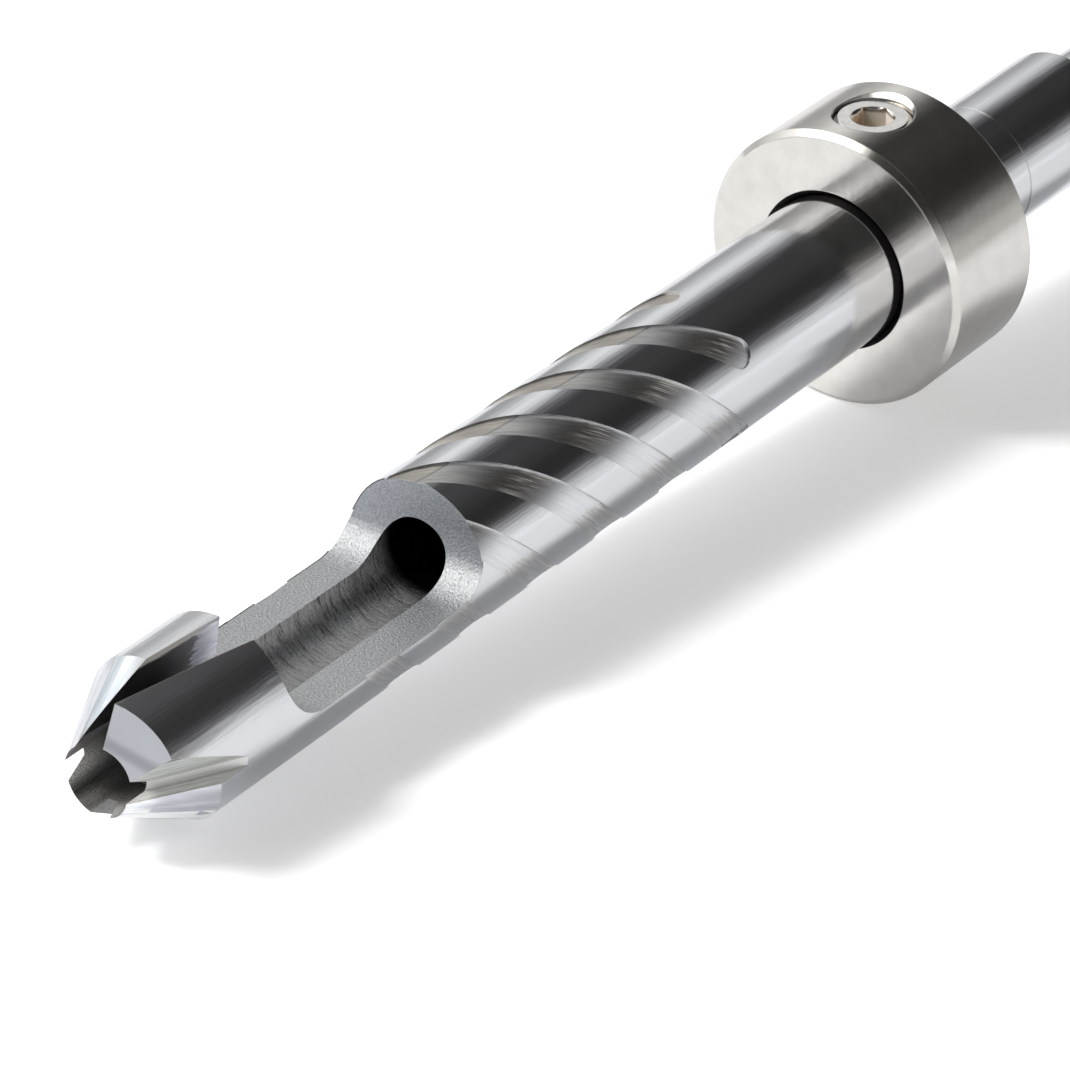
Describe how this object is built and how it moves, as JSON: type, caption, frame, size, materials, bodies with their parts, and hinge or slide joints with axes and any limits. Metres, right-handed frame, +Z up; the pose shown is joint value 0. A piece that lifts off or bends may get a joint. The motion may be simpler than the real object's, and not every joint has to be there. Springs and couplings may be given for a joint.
{
  "type": "plug cutter",
  "caption": "Long plug cutter with a toothed hollow head, a chip window in its side, helical relief grooves, a stepped shank and a depth-stop collar held by a grub screw.",
  "frame": {"origin": "middle of the bounding box in X and Y, at its lowest level in Z: the table top the tool lies on", "axes": "+X from the toothed head to the shank, level; +Z up; the tool lies on its head and its collar, so its own axis rises 3.8 degrees towards the shank, with the chip window and the grub screw facing up"},
  "size_m": [0.1906, 0.03, 0.0308],
  "materials": {
    "tool_steel": "ground bright steel",
    "collar_steel": "satin nickel-plated steel",
    "screw_steel": "plated steel"
  },
  "bodies": {
    "cutter": {"cutter_body": "tool_steel"},
    "collar": {"stop_collar": "collar_steel"},
    "screw": {"grub_screw": "screw_steel"}
  },
  "joints": [
    {"name": "collar_slide", "type": "slide", "parent": "cutter", "child": "collar", "axis": [-0.9978, 0, -0.0664], "range_m": [0, 0.022]},
    {"name": "screw_turn", "type": "hinge", "parent": "collar", "child": "screw", "pos_m": [0.02242, 0, 0.02636], "axis": [-0.0664, 0, 0.9978], "range_deg": [0, 360]}
  ]
}
